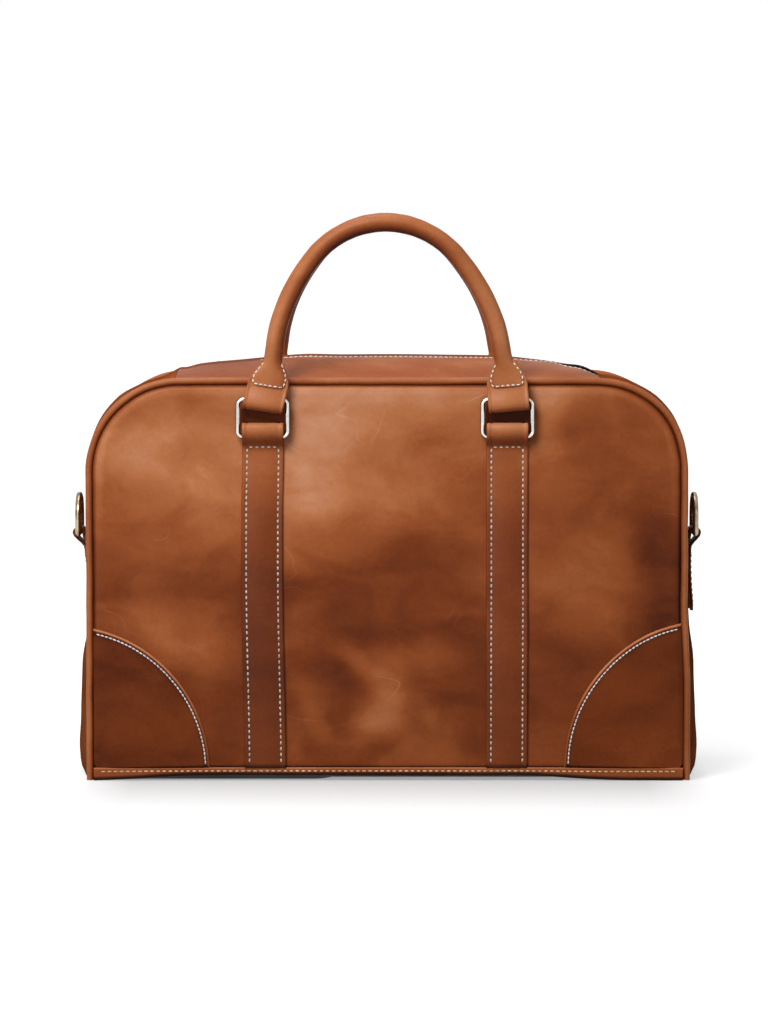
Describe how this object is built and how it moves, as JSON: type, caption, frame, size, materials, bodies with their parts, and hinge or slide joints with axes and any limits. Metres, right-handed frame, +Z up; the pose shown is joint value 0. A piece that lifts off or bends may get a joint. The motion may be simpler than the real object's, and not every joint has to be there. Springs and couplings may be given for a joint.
{
  "type": "leather holdall",
  "caption": "Structured leather holdall with a zipped arched top, rolled handles on rectangular rings, sewn straps, corner patches and D-rings at its ends.",
  "frame": {"origin": "under the middle of the base, on the surface that the bag stands on", "axes": "+X along the bag to the right as seen from the front, +Y to the back, +Z up"},
  "size_m": [0.4656, 0.1882, 0.4103],
  "materials": {
    "body_leather": "oiled, mottled cognac with darker and paler cloudy patches",
    "trim_leather": "oiled cognac, a little darker at its edges",
    "nickel": "antique nickel, satin",
    "zip_tape": "woven, black",
    "zip_metal": "antique, satin",
    "lining": "plain weave, dull",
    "board": "dull",
    "handle_core": "dull",
    "thread": "waxed, cream"
  },
  "bodies": {
    "bag": {"front_panel": "body_leather", "back_panel": "body_leather", "left_gusset": "body_leather", "right_gusset": "body_leather", "left_top_end": "body_leather", "right_top_end": "body_leather", "base_panel": "trim_leather", "front_piping": "trim_leather", "back_piping": "trim_leather", "front_left_patch": "trim_leather", "front_right_patch": "trim_leather", "back_left_patch": "trim_leather", "back_right_patch": "trim_leather", "front_left_strap": "trim_leather", "front_right_strap": "trim_leather", "back_left_strap": "trim_leather", "back_right_strap": "trim_leather", "left_chape": "trim_leather", "right_chape": "trim_leather", "left_zip_end_tape": "zip_tape", "right_zip_end_tape": "zip_tape", "left_zip_end_teeth": "zip_metal", "right_zip_end_teeth": "zip_metal", "lining": "lining", "base_board": "board"},
    "front_left_ring": {"front_left_ring": "nickel"},
    "front_right_ring": {"front_right_ring": "nickel"},
    "back_left_ring": {"back_left_ring": "nickel"},
    "back_right_ring": {"back_right_ring": "nickel"},
    "left_d_ring": {"left_d_ring": "nickel"},
    "right_d_ring": {"right_d_ring": "nickel"},
    "zip_slider": {"zip_slider": "zip_metal"},
    "zip_pull": {"zip_pull": "zip_metal"},
    "front_handle": {"front_handle_wrap": "trim_leather", "front_handle_core": "handle_core", "front_left_handle_tab": "trim_leather", "front_right_handle_tab": "trim_leather"},
    "front_flap": {"front_zip_flap": "body_leather", "front_zip_tape": "zip_tape", "front_zip_teeth": "zip_metal"},
    "back_handle": {"back_handle_wrap": "trim_leather", "back_handle_core": "handle_core", "back_left_handle_tab": "trim_leather", "back_right_handle_tab": "trim_leather"},
    "back_flap": {"back_zip_flap": "body_leather", "back_zip_tape": "zip_tape", "back_zip_teeth": "zip_metal"}
  },
  "joints": [
    {"name": "front_left_ring_swing", "type": "hinge", "parent": "bag", "child": "front_left_ring", "pos_m": [-0.088, -0.0869, 0.25], "axis": [1, 0, 0], "range_deg": [0, 150]},
    {"name": "front_right_ring_swing", "type": "hinge", "parent": "bag", "child": "front_right_ring", "pos_m": [0.088, -0.0869, 0.25], "axis": [1, 0, 0], "range_deg": [0, 150]},
    {"name": "front_handle_swing", "type": "hinge", "parent": "front_left_ring", "child": "front_handle", "pos_m": [-0.088, -0.0869, 0.2768], "axis": [1, 0, 0], "range_deg": [0, 20]},
    {"name": "front_flap_open", "type": "hinge", "parent": "bag", "child": "front_flap", "pos_m": [0, -0.0735, 0.2885], "axis": [1, 0, 0], "range_deg": [0, 65]},
    {"name": "back_left_ring_swing", "type": "hinge", "parent": "bag", "child": "back_left_ring", "pos_m": [-0.088, 0.0869, 0.25], "axis": [-1, 0, 0], "range_deg": [0, 150]},
    {"name": "back_right_ring_swing", "type": "hinge", "parent": "bag", "child": "back_right_ring", "pos_m": [0.088, 0.0869, 0.25], "axis": [-1, 0, 0], "range_deg": [0, 150]},
    {"name": "back_handle_swing", "type": "hinge", "parent": "back_left_ring", "child": "back_handle", "pos_m": [-0.088, 0.0869, 0.2768], "axis": [-1, 0, 0], "range_deg": [0, 20]},
    {"name": "back_flap_open", "type": "hinge", "parent": "bag", "child": "back_flap", "pos_m": [0, 0.0735, 0.2885], "axis": [-1, 0, 0], "range_deg": [0, 65]},
    {"name": "left_d_ring_swing", "type": "hinge", "parent": "bag", "child": "left_d_ring", "pos_m": [-0.22824, 0, 0.175], "axis": [0, -1, 0], "range_deg": [0, 150]},
    {"name": "right_d_ring_swing", "type": "hinge", "parent": "bag", "child": "right_d_ring", "pos_m": [0.22824, 0, 0.175], "axis": [0, 1, 0], "range_deg": [0, 150]},
    {"name": "zip_travel", "type": "hinge", "parent": "bag", "child": "zip_slider", "pos_m": [0, 0, -1.094], "axis": [0, 1, 0], "range_deg": [0, 10.27]},
    {"name": "zip_pull_swing", "type": "hinge", "parent": "zip_slider", "child": "zip_pull", "pos_m": [-0.12535, 0, 0.30098], "axis": [0, 1, 0], "range_deg": [0, 170]}
  ],
  "couplings": [
    {"joint": "front_right_ring_swing", "follows": "front_left_ring_swing", "ratio": 1},
    {"joint": "back_right_ring_swing", "follows": "back_left_ring_swing", "ratio": 1}
  ]
}
